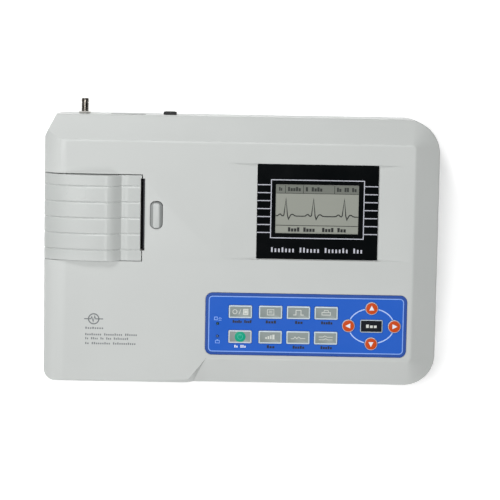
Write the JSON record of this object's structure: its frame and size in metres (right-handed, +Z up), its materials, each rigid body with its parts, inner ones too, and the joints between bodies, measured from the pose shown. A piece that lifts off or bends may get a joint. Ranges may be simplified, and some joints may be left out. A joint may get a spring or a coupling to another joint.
{
  "type": "ecg machine",
  "caption": "Desktop electrocardiograph with a sloping top, clamshell paper printer with a drive train, display window, travelling keypad keys and rear mains panel.",
  "frame": {"origin": "centre of the bounding box at the underside of the feet", "axes": "+X to the right of the user, +Y to the rear panel, +Z up"},
  "size_m": [0.315, 0.2274, 0.077],
  "materials": {
    "case_shell": "fine textured light grey",
    "case_base": "fine textured light grey",
    "door_shell": "satin light grey",
    "foot_rubber": "matte black",
    "zinc_steel": "zinc plated",
    "ground_steel": "ground",
    "window_plastic": "black printed and polished",
    "display_glass": "grey green",
    "overlay_film": "blue printed film",
    "key_plastic": "grey green with a pale border",
    "orange_key": "orange",
    "black_key": "near black",
    "green_lens": "translucent green",
    "amber_lens": "translucent amber",
    "circuit_board": "green solder mask",
    "cell_wrap": "blue shrink wrap",
    "platen_rubber": "ground matte",
    "gear_plastic": "natural acetal",
    "pinion_brass": "machined",
    "motor_steel": "plated can",
    "tray_plastic": "grey",
    "head_metal": "cast and machined",
    "recorder_paper": "thermal paper",
    "dark_plastic": "dark grey",
    "black_plastic": "black",
    "plated_brass": "nickel plated"
  },
  "bodies": {
    "base": {"battery_cover": "case_base", "battery_lamp": "amber_lens", "battery_pack": "cell_wrap", "battery_screw": "zinc_steel", "case_screw_1": "zinc_steel", "case_screw_2": "zinc_steel", "case_screw_3": "zinc_steel", "case_screw_4": "zinc_steel", "display_window": "window_plastic", "door_hinge_pin": "ground_steel", "equipotential_stud": "plated_brass", "foot_1": "foot_rubber", "foot_2": "foot_rubber", "foot_3": "foot_rubber", "foot_4": "foot_rubber", "keypad_board": "circuit_board", "keypad_overlay": "overlay_film", "lcd_module": "display_glass", "lower_case": "case_base", "main_board": "circuit_board", "mains_inlet": "black_plastic", "mains_lamp": "green_lens", "paper_tray": "tray_plastic", "patient_socket": "zinc_steel", "power_board": "circuit_board", "roll_spindle": "dark_plastic", "stepper_motor": "motor_steel", "stud_nut": "plated_brass", "switch_housing": "black_plastic", "upper_case": "case_shell", "usb_socket": "zinc_steel"},
    "door": {"paper_door": "door_shell"},
    "platen": {"platen_shaft": "ground_steel", "platen_roller": "platen_rubber", "platen_gear": "gear_plastic"},
    "idler": {"idler_gear": "gear_plastic"},
    "pinion": {"motor_pinion": "pinion_brass"},
    "roll": {"paper_roll": "recorder_paper"},
    "head": {"print_head": "head_metal"},
    "latch": {"door_latch": "black_plastic"},
    "release": {"release_button": "door_shell"},
    "rocker": {"mains_rocker": "black_plastic"},
    "key_start": {"key_start": "key_plastic"},
    "key_mode": {"key_mode": "key_plastic"},
    "key_cal": {"key_cal": "key_plastic"},
    "key_print": {"key_print": "key_plastic"},
    "key_power": {"key_power": "key_plastic"},
    "key_lead": {"key_lead": "key_plastic"},
    "key_speed": {"key_speed": "key_plastic"},
    "key_filter": {"key_filter": "key_plastic"},
    "key_up": {"key_up": "orange_key"},
    "key_down": {"key_down": "orange_key"},
    "key_left": {"key_left": "orange_key"},
    "key_right": {"key_right": "orange_key"},
    "key_ok": {"key_ok": "black_key"}
  },
  "joints": [
    {"name": "door_hinge", "type": "hinge", "parent": "base", "child": "door", "pos_m": [-0.154, 0.0222, 0.03761], "axis": [0, -0.9945, -0.1045], "range_deg": [0, 95]},
    {"name": "platen_spin", "type": "hinge", "parent": "door", "child": "platen", "pos_m": [-0.0846, 0.02284, 0.0593], "axis": [0, -0.9945, -0.1045], "continuous": true},
    {"name": "idler_spin", "type": "hinge", "parent": "base", "child": "idler", "pos_m": [-0.08062, -0.00824, 0.04311], "axis": [0, -0.9945, -0.1045], "continuous": true},
    {"name": "motor_spin", "type": "hinge", "parent": "base", "child": "pinion", "pos_m": [-0.087, -0.00717, 0.03295], "axis": [0, -0.9945, -0.1045], "continuous": true},
    {"name": "roll_spin", "type": "hinge", "parent": "base", "child": "roll", "pos_m": [-0.122, 0.02409, 0.04736], "axis": [0, -0.9945, -0.1045], "continuous": true},
    {"name": "head_swing", "type": "hinge", "parent": "base", "child": "head", "pos_m": [-0.076, 0.02493, 0.03941], "axis": [0, 0.9945, 0.1045], "range_deg": [0, 2], "stiffness_Nm_per_rad": 1.5},
    {"name": "release_press", "type": "slide", "parent": "base", "child": "release", "axis": [0, 0.1045, -0.9945], "range_m": [0, 0.002], "stiffness_N_per_m": 400},
    {"name": "latch_swing", "type": "hinge", "parent": "base", "child": "latch", "pos_m": [-0.0715, 0.02292, 0.03367], "axis": [0, 0.9945, 0.1045], "range_deg": [0, 11]},
    {"name": "mains_rocker_tilt", "type": "hinge", "parent": "base", "child": "rocker", "pos_m": [-0.0585, 0.09985, 0.046], "axis": [1, 0, 0], "range_deg": [0, 14]},
    {"name": "key_start_press", "type": "slide", "parent": "base", "child": "key_start", "axis": [0, 0.1045, -0.9945], "range_m": [0, 0.0008], "stiffness_N_per_m": 300},
    {"name": "key_mode_press", "type": "slide", "parent": "base", "child": "key_mode", "axis": [0, 0.1045, -0.9945], "range_m": [0, 0.0008], "stiffness_N_per_m": 300},
    {"name": "key_cal_press", "type": "slide", "parent": "base", "child": "key_cal", "axis": [0, 0.1045, -0.9945], "range_m": [0, 0.0008], "stiffness_N_per_m": 300},
    {"name": "key_print_press", "type": "slide", "parent": "base", "child": "key_print", "axis": [0, 0.1045, -0.9945], "range_m": [0, 0.0008], "stiffness_N_per_m": 300},
    {"name": "key_power_press", "type": "slide", "parent": "base", "child": "key_power", "axis": [0, 0.1045, -0.9945], "range_m": [0, 0.0008], "stiffness_N_per_m": 300},
    {"name": "key_lead_press", "type": "slide", "parent": "base", "child": "key_lead", "axis": [0, 0.1045, -0.9945], "range_m": [0, 0.0008], "stiffness_N_per_m": 300},
    {"name": "key_speed_press", "type": "slide", "parent": "base", "child": "key_speed", "axis": [0, 0.1045, -0.9945], "range_m": [0, 0.0008], "stiffness_N_per_m": 300},
    {"name": "key_filter_press", "type": "slide", "parent": "base", "child": "key_filter", "axis": [0, 0.1045, -0.9945], "range_m": [0, 0.0008], "stiffness_N_per_m": 300},
    {"name": "key_up_press", "type": "slide", "parent": "base", "child": "key_up", "axis": [0, 0.1045, -0.9945], "range_m": [0, 0.0008], "stiffness_N_per_m": 300},
    {"name": "key_down_press", "type": "slide", "parent": "base", "child": "key_down", "axis": [0, 0.1045, -0.9945], "range_m": [0, 0.0008], "stiffness_N_per_m": 300},
    {"name": "key_left_press", "type": "slide", "parent": "base", "child": "key_left", "axis": [0, 0.1045, -0.9945], "range_m": [0, 0.0008], "stiffness_N_per_m": 300},
    {"name": "key_right_press", "type": "slide", "parent": "base", "child": "key_right", "axis": [0, 0.1045, -0.9945], "range_m": [0, 0.0008], "stiffness_N_per_m": 300},
    {"name": "key_ok_press", "type": "slide", "parent": "base", "child": "key_ok", "axis": [0, 0.1045, -0.9945], "range_m": [0, 0.0008], "stiffness_N_per_m": 300}
  ],
  "couplings": [
    {"joint": "idler_spin", "follows": "platen_spin", "ratio": -0.58333},
    {"joint": "motor_spin", "follows": "platen_spin", "ratio": 1.4},
    {"joint": "roll_spin", "follows": "platen_spin", "ratio": -0.2439},
    {"joint": "latch_swing", "follows": "release_press", "rad_per_m": 95}
  ]
}
